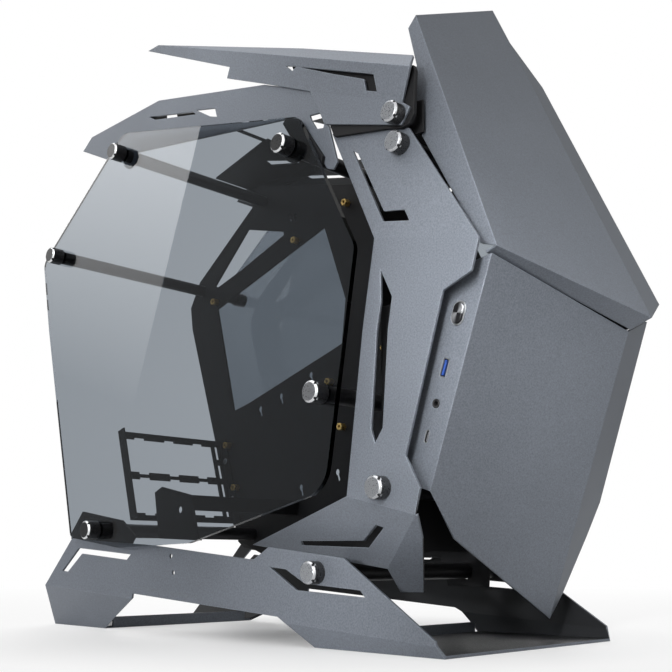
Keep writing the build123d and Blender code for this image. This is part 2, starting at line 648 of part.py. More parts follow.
def make_frame_rods():
    pillar_x = -PILLAR_WIDTH / 2
    slope = (PILLAR_FOLD_END[1] - PILLAR_FOLD_START[1]) / (PILLAR_FOLD_END[0] - PILLAR_FOLD_START[0])
    fold_z = PILLAR_FOLD_START[1] + slope * (NECK_ROD[0] - PILLAR_FOLD_START[0])
    neck_x = pillar_x + PILLAR_LEAN * (NECK_ROD[1] - fold_z)
    neck_seat = neck_x - 1.05 * PILLAR_LEAN * KNOB_RADIUS
    neck_end = neck_x + 1.05 * PILLAR_LEAN * ROD_RADIUS + SKIN
    rows = [
        (FIN_ROD, pillar_x, pillar_x + SKIN + SEAT_GAP + LINK_SHEET),
        (NECK_ROD, neck_seat, neck_end),
        (FOOT_ROD, pillar_x, pillar_x + SKIN),
        (BASE_ROD, -BASE_WIDTH / 2, -BASE_WIDTH / 2 + SKIN),
    ]
    both_sides("frame_knobs", group([knob(place, seat, FRAME_KNOB_LENGTH) for place, seat, end in rows]))
    PARTS["frame_rods"] = group([tie_rod(place, -end - SEAT_GAP) for place, seat, end in rows])


# Board tray and what it carries
def tray_face():
    return BOARD_FACE_X + STANDOFF_HEIGHT


def slot_point(forward, drop):
    """(y, z) from the slot frame's top corner: forward along the board, and down it."""
    return board_point(forward - SLOT_FRAME_SET_BACK, SLOT_FIRST_DROP + drop)


def tray_screw_places():
    return [PSU_SCREW, slot_point(SLOT_FLANGE / 2, SLOT_PITCH), slot_point(SLOT_FLANGE / 2, 3 * SLOT_PITCH)]


def make_tray():
    face_x = tray_face()
    back_x = face_x + TRAY_SHEET
    body = plate(TRAY_OUTLINE, face_x, back_x)
    for outline in (COOLER_WINDOW, CABLE_WINDOW):
        body -= plate(outline, face_x, back_x)
    tilt = radians(BOARD_TILT)
    for y, z in KEYHOLES:
        tail = (y - KEYHOLE_DROP * sin(tilt), z - KEYHOLE_DROP * cos(tilt))
        body -= rod((y, z), KEYHOLE_HEAD, face_x, back_x)
        body -= round_bar((y, z), tail, KEYHOLE_TAIL, face_x, back_x)
    for place in STRAP_SLOTS:
        slot = Pos(*place) * Rot(0, 0, -BOARD_TILT) * Rectangle(*STRAP_SLOT_SIZE)
        body -= extrude(Plane.YZ.offset(face_x) * slot, amount=TRAY_SHEET)
    for place in GLASS_RODS + [BASE_ROD]:
        body -= rod(place, ROD_RADIUS + FIT, face_x, back_x)
    for hole in BOARD_HOLES + [BARE_BOARD_HOLE]:
        body -= rod(board_point(*hole), STANDOFF_THREAD / 2 + FIT, face_x, back_x)
    for place in tray_screw_places():
        body -= rod(place, SCREW_RADIUS + FIT, face_x, back_x)
    PARTS["motherboard_tray"] = body


def make_standoffs():
    face_x = tray_face()
    posts = []
    for hole in BOARD_HOLES:
        place = board_point(*hole)
        hexagon = Pos(*place) * RegularPolygon(STANDOFF_FLATS / 2, 6, major_radius=False)
        post = extrude(Plane.YZ.offset(BOARD_FACE_X) * hexagon, amount=STANDOFF_HEIGHT)
        post -= rod(place, STANDOFF_THREAD / 2, BOARD_FACE_X, face_x - 1)
        posts.append(post + rod(place, STANDOFF_THREAD / 2, face_x, face_x + TRAY_SHEET))
    PARTS["standoffs"] = group(posts)


def make_slot_frame():
    tilt = radians(BOARD_TILT)
    top_y, top_z = slot_point(0, 0)
    plane = Plane(origin=(tray_face(), top_y, top_z), x_dir=(-1, 0, 0), z_dir=(0, cos(tilt), -sin(tilt)))
    height = 4 * SLOT_PITCH
    full = height + SLOT_FRAME_BAR
    sketch = Pos((SLOT_FRAME_REACH + SEAT_GAP) / 2, -height / 2) * Rectangle(SLOT_FRAME_REACH - SEAT_GAP, full)
    open_width = SLOT_FRAME_REACH - SLOT_COLUMN - SLOT_POST
    open_height = 2 * SLOT_PITCH - SLOT_FRAME_BAR
    for row in (0, 1):
        middle = Pos(SLOT_COLUMN + open_width / 2, -(2 * row + 1) * SLOT_PITCH)
        sketch -= middle * Rectangle(open_width, open_height)
        for step in (-1, 0, 1):
            sketch -= middle * Pos(step * open_width / 3, 0) * Rectangle(open_width / 9, open_height + 4)
    for row in range(4):
        sketch -= Pos(SLOT_COLUMN / 2 + 1, -(row + 0.5) * SLOT_PITCH) * Rectangle(3.6, SLOT_PITCH - 6)
    body = extrude(plane * sketch, amount=BRACKET_SHEET)
    flange = Pos(SEAT_GAP + BRACKET_SHEET / 2, -height / 2) * Rectangle(BRACKET_SHEET, full)
    body += extrude(plane * flange, amount=-SLOT_FLANGE)
    post = Pos(SLOT_FRAME_REACH - BRACKET_SHEET / 2, -height / 2) * Rectangle(BRACKET_SHEET, full)
    body += extrude(plane * post, amount=-8)
    for place in tray_screw_places()[1:]:
        body -= rod(place, SCREW_RADIUS + FIT, tray_face() - 4, tray_face())
    PARTS["expansion_slot_frame"] = body


def make_psu_bracket():
    end = plate(PSU_END_PLATE, PSU_END_X, PSU_END_X + BRACKET_SHEET)
    end -= rod(PSU_END_HOLE, 3.0, PSU_END_X, PSU_END_X + BRACKET_SHEET)
    low, high = PSU_ARM_HEIGHTS
    stop_x = tray_face() - SEAT_GAP
    arm = [(PSU_ARM_Y, low), (PSU_ARM_Y, high), (PSU_ARM_Y + BRACKET_SHEET, high), (PSU_ARM_Y + BRACKET_SHEET, low)]
    foot = [(PSU_ARM_Y, low), (PSU_ARM_Y, high), (PSU_ARM_Y + PSU_FOOT, high), (PSU_ARM_Y + PSU_FOOT, low)]
    body = end + plate(arm, PSU_END_X, stop_x) + plate(foot, stop_x - BRACKET_SHEET, stop_x)
    PARTS["psu_bracket"] = body - rod(PSU_SCREW, SCREW_RADIUS + FIT, stop_x - 4, stop_x)


def make_screws():
    seat_x = tray_face() - SEAT_GAP - BRACKET_SHEET
    screws = []
    for place in tray_screw_places():
        head = rod(place, SCREW_HEAD_RADIUS, seat_x - SCREW_HEAD, seat_x)
        head = chamfer(head.faces().sort_by(Axis.X)[0].edges(), 0.5)
        screws.append(head + rod(place, SCREW_RADIUS, seat_x, tray_face() + TRAY_SHEET))
    PARTS["tray_screws"] = group(screws)


# Links and brackets beside the pillars
def make_links():
    wing_x = -PILLAR_WIDTH / 2 + SKIN + SEAT_GAP
    arm_x = wing_x - SEAT_GAP
    body = plate(GLASS_ARM, arm_x - LINK_SHEET, arm_x)
    body += rod(GLASS_RODS[4], GLASS_ARM_EAR, arm_x - LINK_SHEET, arm_x)
    both_sides("glass_arm", body - rod(GLASS_RODS[4], ROD_RADIUS + FIT, wing_x - 10, wing_x))
    body = plate(SHIELD_LINK, wing_x, wing_x + LINK_SHEET)
    both_sides("shield_link", body - rod(FIN_ROD, STUD_RADIUS + FIT, wing_x, wing_x + LINK_SHEET))
    base_x = -BASE_WIDTH / 2 + SKIN + SEAT_GAP
    body = plate(CORNER_BRACKET, base_x, base_x + SKIN)
    both_sides("corner_bracket", body - rod(GLASS_RODS[2], ROD_RADIUS + FIT, base_x, base_x + SKIN))


def make_fan_bracket():
    side = FAN_BRACKET_WIDTH / 2
    low, shoulder, high = FAN_BRACKET_HEIGHTS
    outline = [(-side + 11, low), (side - 11, low), (side, shoulder), (side, high), (-side, high), (-side, shoulder)]
    plane = Plane(origin=(0, FAN_BRACKET_Y, 0), x_dir=(1, 0, 0), z_dir=(0, -1, 0))
    sketch = Polygon(*outline, align=None)
    for index in (0, 1):
        middle = Pos(0, FAN_FIRST_Z + index * FAN_SIZE)
        sketch -= middle * Circle(FAN_SIZE / 2 - 4)
        for dx in (-1, 1):
            for dz in (-1, 1):
                corner = Pos(dx * FAN_HOLE_PITCH / 2, dz * FAN_HOLE_PITCH / 2)
                sketch -= middle * corner * Circle(FAN_HOLE_RADIUS)
    body = extrude(plane * sketch, amount=BRACKET_SHEET, dir=(0, 1, 0))
    back = FAN_BRACKET_Y + BRACKET_SHEET
    reach = 0.57 * IO_STRIP_WIDTH
    left_low = [(back, shoulder), (FAN_BRACKET_Y - 18, shoulder)]
    left_low += [(chin_fold_y(z) + reach, z) for z in (120, 230)] + [(back, 230)]
    left_high = [(back, 348), (FAN_BRACKET_Y - 40, 348), (FAN_BRACKET_Y - 40, 372), (back, 378)]
    gap = 1.2 * SKIN + SEAT_GAP
    right_low = [(back, shoulder), (FAN_BRACKET_Y - 18, shoulder)]
    right_low += [(chin_cheek()(side, z)[1] + gap, z) for z in (115, 200)] + [(back, 230)]
    right_high = [(back, 315)] + [(shield_cheek()(side, z)[1] + gap, z) for z in (300, 360)] + [(back, 378)]
    for outline in (left_low, left_high):
        body += plate(outline, -side, -side + BRACKET_SHEET)
    for outline in (right_low, right_high):
        body += plate(outline, side - BRACKET_SHEET, side)
    for place in (FOOT_ROD, FIN_ROD, NECK_ROD):
        body -= rod(place, ROD_RADIUS + FIT, -side, side)
    PARTS["fan_bracket"] = body


make_base()
make_pillars()
make_fins()
make_wings()
make_upper_shield()
make_lower_shield()
make_button()
make_ports()
make_glass()
make_frame_rods()
make_tray()
make_standoffs()
make_slot_frame()
make_psu_bracket()
make_screws()
make_links()
make_fan_bracket()

# The origin moves to the middle of the footprint
front_reach = SHIELD_TOE_RIDGE[1]
rear_reach = PARTS["left_glass"].bounding_box().max.Y
centre = Pos(0, -(front_reach + rear_reach) / 2, 0)

os.makedirs("parts", exist_ok=True)
for name, body in PARTS.items():
    export_step(centre * body, "parts/" + name + ".step")
    print(name, round(body.volume), len(body.solids()), body.is_valid)
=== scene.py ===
# %% [markdown]
# # An open-frame computer case
# Folded grey steel plates, black brackets and round rods carry a board tray between two tinted glass sides.
# The shapes come from the CAD frame, and this script never moves or changes them. It gives them their
# finishes, light and camera, and adds one black plate under the roof.

# %% Load the frame
import json
from math import cos, degrees, radians, sin

import bmesh
import bpy
from mathutils import Matrix, Vector


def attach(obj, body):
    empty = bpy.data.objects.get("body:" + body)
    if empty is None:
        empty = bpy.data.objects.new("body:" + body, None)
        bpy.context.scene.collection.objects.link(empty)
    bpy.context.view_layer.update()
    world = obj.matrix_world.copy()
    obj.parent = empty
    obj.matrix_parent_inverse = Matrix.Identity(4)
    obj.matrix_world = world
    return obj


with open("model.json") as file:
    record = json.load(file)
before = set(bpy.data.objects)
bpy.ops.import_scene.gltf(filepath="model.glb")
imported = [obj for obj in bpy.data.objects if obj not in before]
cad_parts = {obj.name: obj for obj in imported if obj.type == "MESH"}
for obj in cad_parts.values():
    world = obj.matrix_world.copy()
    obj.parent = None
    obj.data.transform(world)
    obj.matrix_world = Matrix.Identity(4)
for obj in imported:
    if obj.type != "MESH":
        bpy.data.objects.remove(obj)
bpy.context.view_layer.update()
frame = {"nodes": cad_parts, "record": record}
nodes = frame["nodes"]

# %% [markdown]
# ## Objects in the scene
# Blender keeps a thing's data, such as a mesh or a lamp, apart from the object that shows it. The camera,
# the lamps and the added plate all need both, and the camera and lamps also have to face something, so two
# helpers do that.


# %% Object helpers
def new_object(name, data):
    """Object in the scene that shows a mesh, a lamp or a camera."""
    item = bpy.data.objects.new(name, data)
    bpy.context.scene.collection.objects.link(item)
    return item


def face_along(item, direction):
    """Turn a lamp or a camera to look along a direction."""
    item.rotation_euler = direction.to_track_quat("-Z", "Y").to_euler()


# %% [markdown]
# ## Camera
# The photograph was taken from low down, looking up a little at the left front corner. A camera can be
# placed by eye, but then its lens and its distance are easily confused. Here place, direction and lens were
# solved together from the board's hole pattern. The lens covers 37.5 degrees across a square picture.

# %% Camera
AZIMUTH = radians(45.54)
RISE = radians(12.77)
CAMERA_PLACE = (-0.5883, -0.5984, 0.0580)
LENS = 53.08
SENSOR_WIDTH = 36.0
camera_data = bpy.data.cameras.new("camera")
camera_data.lens = LENS
camera_data.sensor_width = SENSOR_WIDTH
camera = new_object("camera", camera_data)
camera.location = CAMERA_PLACE
face_along(camera, Vector((sin(AZIMUTH) * cos(RISE), cos(AZIMUTH) * cos(RISE), sin(RISE))))
bpy.context.scene.camera = camera
bpy.context.scene.view_settings.view_transform = "Standard"
print("camera covers degrees:", round(degrees(camera_data.angle), 1))

# %% [markdown]
# ## Shared effects
# A finish is a network of nodes. Written out each time, such networks get long and drift apart, so each
# helper adds one kind of node and gives back its output. A Mix node has one set of sockets for each kind of
# data, and the numbers here are those of its colour sockets.


# %% Node helpers
def add_node(tree, kind, **settings):
    node = tree.nodes.new(kind)
    for key, value in settings.items():
        setattr(node, key, value)
    return node


def math_node(tree, operation, first, second):
    """Math node; each operand is a socket or a number."""
    node = add_node(tree, "ShaderNodeMath", operation=operation)
    for index, operand in enumerate((first, second)):
        if isinstance(operand, (int, float)):
            node.inputs[index].default_value = operand
        else:
            tree.links.new(operand, node.inputs[index])
    return node.outputs[0]


def ramp(tree, factor, low, high):
    """Map low..high of a factor to 0..1."""
    node = add_node(tree, "ShaderNodeMapRange")
    node.inputs["From Min"].default_value = low
    node.inputs["From Max"].default_value = high
    tree.links.new(factor, node.inputs["Value"])
    return node.outputs["Result"]


# %% Colour helper
MIX_FACTOR = 0
MIX_COLORS = (6, 7)
MIX_RESULT = 2


def mix_color(tree, factor, first, second, clamp=True):
    """Mix of two colours; each is a socket or an (r, g, b)."""
    node = add_node(tree, "ShaderNodeMix", data_type="RGBA", clamp_factor=clamp)
    tree.links.new(factor, node.inputs[MIX_FACTOR])
    for index, color in zip(MIX_COLORS, (first, second)):
        if isinstance(color, tuple):
            node.inputs[index].default_value = (*color, 1)
        else:
            tree.links.new(color, node.inputs[index])
    return node.outputs[MIX_RESULT]


# %% Place helpers
def split_axes(tree, source="Object"):
    """X, Y and Z of the point on the piece, or of its normal."""
    place = add_node(tree, "ShaderNodeTexCoord")
    split = add_node(tree, "ShaderNodeSeparateXYZ")
    tree.links.new(place.outputs[source], split.inputs[0])
    return split.outputs


def noise(tree, scale, detail=2.0):
    """Noise over the piece's own coordinates, so that it stays put when the piece moves."""
    place = add_node(tree, "ShaderNodeTexCoord")
    node = add_node(tree, "ShaderNodeTexNoise")
    node.inputs["Scale"].default_value = scale
    node.inputs["Detail"].default_value = detail
    tree.links.new(place.outputs["Object"], node.inputs["Vector"])
    return node.outputs["Fac"]


# %% Group helper
FLOAT = "NodeSocketFloat"
COLOR = "NodeSocketColor"
VECTOR = "NodeSocketVector"


def new_group(name, inputs, outputs):
    """Node group with inputs as (name, type, default) and outputs as (name, type)."""
    tree = bpy.data.node_groups.new(name, "ShaderNodeTree")
    for label, kind, default in inputs:
        socket = tree.interface.new_socket(label, in_out="INPUT", socket_type=kind)
        socket.default_value = default
    for label, kind in outputs:
        tree.interface.new_socket(label, in_out="OUTPUT", socket_type=kind)
    return tree, tree.nodes.new("NodeGroupInput"), tree.nodes.new("NodeGroupOutput")


# %% [markdown]
# ### Grain of the coat
# A powder coat has a fine pebbled grain over a slow change of tone, and a folded edge catches a little more
# light than the sheet beside it, which the group paints into the colour as an edge highlight. Painted maps
# would need unwrapped plates. Noise over the piece's own coordinates needs none, so the grain is a node
# group that each finish uses with values of its own. Its tone comes first.

# %% Grain group: tone
GRAIN_SCALE = 900.0
GRAIN_SHARE = 0.75
CLOUD_SCALE = 9.0
CLOUD_SHARE = 0.25
grain_group, grain_in, grain_out = new_group(
    "coat_grain",
    [("Dark", COLOR, (0.2, 0.2, 0.2, 1)), ("Light", COLOR, (0.3, 0.3, 0.3, 1)), ("Roughness", FLOAT, 0.45),
     ("Bump", FLOAT, 0.1), ("Edge highlight", FLOAT, 0.2)],
    [("Color", COLOR), ("Roughness", FLOAT), ("Normal", VECTOR)])
speckle = noise(grain_group, GRAIN_SCALE, detail=3.0)
cloud = noise(grain_group, CLOUD_SCALE, detail=4.0)
cloud_tone = math_node(grain_group, "MULTIPLY", ramp(grain_group, cloud, 0.3, 0.7), CLOUD_SHARE)
speckle_tone = math_node(grain_group, "MULTIPLY", ramp(grain_group, speckle, 0.3, 0.7), GRAIN_SHARE)
flat_tone = math_node(grain_group, "ADD", cloud_tone, speckle_tone)
print("nodes in the grain's tone:", len(grain_group.nodes))

# %% [markdown]
# The Bevel node gives the normal that the surface would have with rounded edges. Where it differs from the
# true normal, the point is near an edge, so the difference serves as an edge mask with no extra geometry.
# The mask lightens the colour there, a painted highlight on the edge.

# %% Grain group: painted edge highlight
EDGE_RADIUS = 0.0011
rounded = add_node(grain_group, "ShaderNodeBevel", samples=4)
rounded.inputs["Radius"].default_value = EDGE_RADIUS
surface = add_node(grain_group, "ShaderNodeNewGeometry")
turn = add_node(grain_group, "ShaderNodeVectorMath", operation="DOT_PRODUCT")
grain_group.links.new(rounded.outputs["Normal"], turn.inputs[0])
grain_group.links.new(surface.outputs["Normal"], turn.inputs[1])
edge = ramp(grain_group, math_node(grain_group, "SUBTRACT", 1.0, turn.outputs["Value"]), 0.01, 0.12)
edge = math_node(grain_group, "MULTIPLY", edge, grain_in.outputs["Edge highlight"])
# Painted highlight: near an edge the tone rises, so the colour lightens towards the Light tone and past it.
tone = math_node(grain_group, "ADD", flat_tone, edge)
grain_color = mix_color(grain_group, tone, grain_in.outputs["Dark"], grain_in.outputs["Light"], clamp=False)
grain_group.links.new(grain_color, grain_out.inputs["Color"])
print("edge radius in mm:", EDGE_RADIUS * 1000)

# %% [markdown]
# The same speckle makes the coat a little rougher here and there, and lifts its surface by a fraction of a
# millimetre.

# %% Grain group: roughness and bump
ROUGHNESS_SPREAD = 0.12
BUMP_DEPTH = 0.0002
uneven = math_node(grain_group, "MULTIPLY", ramp(grain_group, speckle, 0.35, 0.65), ROUGHNESS_SPREAD)
rough = math_node(grain_group, "ADD", uneven, grain_in.outputs["Roughness"])
grain_group.links.new(rough, grain_out.inputs["Roughness"])
bump = add_node(grain_group, "ShaderNodeBump")
bump.inputs["Distance"].default_value = BUMP_DEPTH
grain_group.links.new(grain_in.outputs["Bump"], bump.inputs["Strength"])
grain_group.links.new(speckle, bump.inputs["Height"])
grain_group.links.new(rounded.outputs["Normal"], bump.inputs["Normal"])
grain_group.links.new(bump.outputs["Normal"], grain_out.inputs["Normal"])
print("grain group nodes:", len(grain_group.nodes))

# %% [markdown]
# ### Painted shade on the inner side of a plate
# The plates lie in deep shade on the side that faces into the case, and that shade is painted into their
# colour as near black. A plate is one mesh, so its two sides can't have a material each without cutting it
# up. A mask tells them apart instead. A face is an inner one, and gets the painted shade, if it looks back
# towards the middle, if it is the top of a floor plate, or if it looks to the rear.

# %% Inner side group: painted shade
INWARD_TURN = -0.3
UPWARD_TURN = 0.9
REAR_TURN = 0.6
FLOOR_PLATE_TOP = 0.011
painted_shade_group, _, inner_out = new_group("painted_inner_shade", [], [("Inside", FLOAT)])
where = split_axes(painted_shade_group)
facing = split_axes(painted_shade_group, "Normal")
side_sign = math_node(painted_shade_group, "SIGN", where["X"], 0.0)
outward = math_node(painted_shade_group, "MULTIPLY", side_sign, facing["X"])
inward = math_node(painted_shade_group, "LESS_THAN", outward, INWARD_TURN)
upward = math_node(painted_shade_group, "MULTIPLY", math_node(painted_shade_group, "GREATER_THAN", facing["Z"], UPWARD_TURN),
                   math_node(painted_shade_group, "LESS_THAN", where["Z"], FLOOR_PLATE_TOP))
backward = math_node(painted_shade_group, "GREATER_THAN", facing["Y"], REAR_TURN)
# Painted shade mask: faces that look inward, tops of floor plates and faces that look to the rear.
inside = math_node(painted_shade_group, "MAXIMUM", inward, math_node(painted_shade_group, "MAXIMUM", upward, backward))
painted_shade_group.links.new(inside, inner_out.inputs["Inside"])
print("inner side group nodes:", len(painted_shade_group.nodes))

# %% [markdown]
# ### Faces of a turned part
# The knobs are turned about the X axis, so the normal alone says which face a point is on: an end face
# looks along the axis, the bevel leans, and the side looks across.

# %% Turned part group
END_TURN = 0.93
LEAN_TURN = 0.4
turned_group, _, turned_out = new_group("turned_part", [], [("Bevel", FLOAT), ("Face", FLOAT)])
along = math_node(turned_group, "ABSOLUTE", split_axes(turned_group, "Normal")["X"], 0.0)
leaning = math_node(turned_group, "MULTIPLY", math_node(turned_group, "GREATER_THAN", along, LEAN_TURN),
                    math_node(turned_group, "LESS_THAN", along, END_TURN))
turned_group.links.new(leaning, turned_out.inputs["Bevel"])
turned_group.links.new(math_node(turned_group, "GREATER_THAN", along, END_TURN), turned_out.inputs["Face"])
print("turned part group nodes:", len(turned_group.nodes))

# %% [markdown]
# ## Kinds of finish
# Paint, plastic and bare metal differ here in their two tones, how metallic and how rough they are, and how
# strong a painted highlight their edges get. One function makes them all. The other finishes start from it
# and replace a colour where a mask says so, which is why they need the socket that already feeds an input.


# %% Coated finish
def coated(name, dark, light, metallic, roughness, bump_strength=0.1, edge_highlight_gain=0.2, inner_shade=None):
    """Principled material whose colour, roughness and normal come from the grain group."""
    material = bpy.data.materials.new(name)
    material.use_nodes = True
    tree = material.node_tree
    shader = tree.nodes["Principled BSDF"]
    grain = add_node(tree, "ShaderNodeGroup", node_tree=grain_group)
    grain.inputs["Dark"].default_value = (*dark, 1)
    grain.inputs["Light"].default_value = (*light, 1)
    grain.inputs["Roughness"].default_value = roughness
    grain.inputs["Bump"].default_value = bump_strength
    grain.inputs["Edge highlight"].default_value = edge_highlight_gain
    color = grain.outputs["Color"]
    # Painted shade: where the mask marks a face that looks into the case, the colour turns to the dark inner
    # colour.
    if inner_shade:
        side = add_node(tree, "ShaderNodeGroup", node_tree=painted_shade_group)
        color = mix_color(tree, side.outputs["Inside"], color, inner_shade)
    tree.links.new(color, shader.inputs["Base Color"])
    tree.links.new(grain.outputs["Roughness"], shader.inputs["Roughness"])
    tree.links.new(grain.outputs["Normal"], shader.inputs["Normal"])
    shader.inputs["Metallic"].default_value = metallic
    return material


def feeding(shader, label):
    """Socket that already feeds one of the shader's inputs."""
    return shader.inputs[label].links[0].from_socket


# %% [markdown]
# A thumb knob is a turned cap with a polished bevel. Its end face, side and bevel differ in colour and in
# how metallic they are, so the turned part's masks choose between them.


# %% Knob finish
def knob_finish(name, face, body, bevel, metallic_face):
    """Turned cap: colours of its face, body and bevel, and how metallic the face is."""
    material = coated(name, body, body, 0.0, 0.25, bump_strength=0.0, edge_highlight_gain=0.0)
    tree = material.node_tree
    shader = tree.nodes["Principled BSDF"]
    turned = add_node(tree, "ShaderNodeGroup", node_tree=turned_group)
    color = mix_color(tree, turned.outputs["Face"], feeding(shader, "Base Color"), face)
    color = mix_color(tree, turned.outputs["Bevel"], color, bevel)
    tree.links.new(color, shader.inputs["Base Color"])
    shine = math_node(tree, "MULTIPLY", turned.outputs["Face"], metallic_face)
    tree.links.new(math_node(tree, "MAXIMUM", shine, turned.outputs["Bevel"]), shader.inputs["Metallic"])
    return material


# %% [markdown]
# One knob on the glass, low at the front, looks bare in the photograph while the others look black. It may
# be bare, or only mirror something bright. The knobs of one side share a node, so the cap's place picks it
# out, on both sides.

# %% Bare cap
FRONT_KNOB_Y = -0.105
FRONT_KNOB_Z = 0.25


def bare_front_cap(material, color):
    """Give the cap low at the front a bare metal face."""
    tree = material.node_tree
    shader = tree.nodes["Principled BSDF"]
    place = split_axes(tree)
    turned = add_node(tree, "ShaderNodeGroup", node_tree=turned_group)
    there = math_node(tree, "MULTIPLY", math_node(tree, "LESS_THAN", place["Y"], FRONT_KNOB_Y),
                      math_node(tree, "LESS_THAN", place["Z"], FRONT_KNOB_Z))
    bare = math_node(tree, "MULTIPLY", there, turned.outputs["Face"])
    old_metal = feeding(shader, "Metallic")
    tree.links.new(mix_color(tree, bare, feeding(shader, "Base Color"), color), shader.inputs["Base Color"])
    tree.links.new(math_node(tree, "MAXIMUM", bare, old_metal), shader.inputs["Metallic"])


# %% [markdown]
# A port shows a thin metal rim at the strip's face and shade behind it. The inner walls are the same metal
# and would catch the lamps, so the metal turns to plain dark a little behind the rim, a painted shade for
# the recess.

# %% Port finish
PORT_RIM_X = 0.0919
PORT_METALLIC = 0.8
PORT_PAINTED_SHADE = (0.004, 0.004, 0.004)


def port_finish(name, rim):
    """Metal rim at the strip's face, and painted shade on the metal of the socket behind it."""
    material = coated(name, rim, rim, PORT_METALLIC, 0.3)
    tree = material.node_tree
    shader = tree.nodes["Principled BSDF"]
    across = math_node(tree, "ABSOLUTE", split_axes(tree)["X"], 0.0)
    # Painted shade: behind the rim the metal turns dark and loses its shine.
    recess_shade = math_node(tree, "LESS_THAN", across, PORT_RIM_X)
    tree.links.new(mix_color(tree, recess_shade, feeding(shader, "Base Color"), PORT_PAINTED_SHADE),
                   shader.inputs["Base Color"])
    lost_metal = math_node(tree, "MULTIPLY", recess_shade, PORT_METALLIC)
    tree.links.new(math_node(tree, "SUBTRACT", PORT_METALLIC, lost_metal), shader.inputs["Metallic"])
    return material


# %% [markdown]
# A spun metal cap shows light and dark wedges that turn about its middle. They are reflections of the lamps,
# and anisotropic gloss could make them from the lamps. On a button this small a simpler way is enough: they
# are painted into the colour, as a cosine of the angle round the middle.

# %% Button finish
WEDGES = 2.0
WEDGE_START = 0.9


def painted_wedge_finish(name, dark, bright, middle):
    """Brushed cap whose colour turns from dark to bright with the angle round its middle, a painted
    reflection.
    """
    material = coated(name, dark, bright, 0.9, 0.3, bump_strength=0.0)
    tree = material.node_tree
    place = split_axes(tree)
    angle = math_node(tree, "ARCTAN2", math_node(tree, "SUBTRACT", place["Z"], middle.z),
                      math_node(tree, "SUBTRACT", place["Y"], middle.y))
    turned = math_node(tree, "ADD", math_node(tree, "MULTIPLY", angle, WEDGES), WEDGE_START)
    # Painted reflection: the wedges of light and dark go into the base colour.
    wedge_glint = ramp(tree, math_node(tree, "COSINE", turned, 0.0), -0.2, 0.9)
    tree.links.new(mix_color(tree, wedge_glint, dark, bright), tree.nodes["Principled BSDF"].inputs["Base Color"])
    return material


# %% [markdown]
# ## Finishes of this case
# The armour is gunmetal grey with a satin coat, and what it carries is matt black. The grey is a paint with
# metal flakes, so it is partly metallic: fully metallic plates would go black wherever they mirror nothing.

# %% Armour, black parts and rods
COAT_DARK = (0.118, 0.131, 0.154)
COAT_LIGHT = (0.205, 0.227, 0.262)
# The inner colour is painted shade for the faces that look into the case.
COAT_INNER_SHADE = (0.02, 0.021, 0.023)
armour_coat = coated("armour_coat", COAT_DARK, COAT_LIGHT, 0.4, 0.4, edge_highlight_gain=0.8, inner_shade=COAT_INNER_SHADE)
black_coat = coated("black_coat", (0.007, 0.007, 0.008), (0.015, 0.015, 0.016), 0.0, 0.5, edge_highlight_gain=1.5)
black_coat.node_tree.nodes["Principled BSDF"].inputs["Specular IOR Level"].default_value = 0.2
rod_coat = coated("rod_coat", (0.02, 0.02, 0.022), (0.04, 0.04, 0.043), 0.6, 0.3, edge_highlight_gain=1.0)
print("coats:", armour_coat.name, black_coat.name, rod_coat.name)

# %% [markdown]
# The knobs on the armour have grey metal faces, and those on the glass are black with bright bevels. Brass
# standoffs, the metal button, rubber washers and the blue tongue of the port are small, but each is told by
# its colour.

# %% Knobs and small parts
knob_metal = knob_finish("knob_metal", (0.4, 0.415, 0.44), (0.02, 0.02, 0.021), (0.6, 0.61, 0.63), 0.9)
black_knob = knob_finish("black_knob", (0.008, 0.008, 0.009), (0.008, 0.008, 0.009), (0.86, 0.87, 0.88), 0.0)
bare_front_cap(black_knob, (0.36, 0.37, 0.39))
port_metal = port_finish("port_metal", (0.35, 0.36, 0.38))
brass_metal = coated("brass_metal", (0.62, 0.4, 0.12), (0.8, 0.56, 0.2), 0.9, 0.25, bump_strength=0.03)
button_metal = coated("button_metal", (0.3, 0.31, 0.33), (0.42, 0.43, 0.45), 0.8, 0.3, edge_highlight_gain=1.5)
washer_rubber = coated("washer_rubber", (0.01, 0.01, 0.01), (0.02, 0.02, 0.02), 0.0, 0.7)
black_plastic = coated("black_plastic", (0.012, 0.012, 0.013), (0.022, 0.022, 0.023), 0.0, 0.45)
blue_plastic = coated("blue_plastic", (0.012, 0.045, 0.2), (0.015, 0.06, 0.27), 0.0, 0.4)
board_green = coated("board_green", (0.01, 0.05, 0.03), (0.015, 0.08, 0.045), 0.0, 0.4)
print("materials so far:", len(bpy.data.materials))

# %% [markdown]
# ### Smoked glass
# The side sheets are clear to look through but darken what is behind them, with a bluish tint. A grey
# surface colour would darken each face alike. Absorption in the volume darkens by the way that light
# travels in the glass, so the edge of the sheet turns darker than its face, as it does on real glass.

# %% Smoked glass
SOOT = (0.035, 0.11, 0.185, 1)
SOOT_DENSITY = 250.0
smoked_glass = bpy.data.materials.new("smoked_glass")
smoked_glass.use_nodes = True
glass_tree = smoked_glass.node_tree
glass_shader = glass_tree.nodes["Principled BSDF"]
glass_shader.inputs["Transmission Weight"].default_value = 1.0
glass_shader.inputs["Metallic"].default_value = 0.0
glass_shader.inputs["IOR"].default_value = 1.45
glass_shader.inputs["Specular IOR Level"].default_value = 0.5
glass_shader.inputs["Roughness"].default_value = 0.0
tint = mix_color(glass_tree, noise(glass_tree, 2.5), (0.93, 0.94, 0.95), (0.96, 0.97, 0.98))
glass_tree.links.new(tint, glass_shader.inputs["Base Color"])
soot = add_node(glass_tree, "ShaderNodeVolumeAbsorption")
soot.inputs["Color"].default_value = SOOT
soot.inputs["Density"].default_value = SOOT_DENSITY
glass_tree.links.new(soot.outputs[0], glass_tree.nodes["Material Output"].inputs["Volume"])
print("glass absorption density:", SOOT_DENSITY)

# %% [markdown]
# ### Which piece gets which finish
# The record names a material slot for each node. A table from slot to finish dresses them all in one loop,
# and a second table holds the few nodes that differ from the rest of their slot.

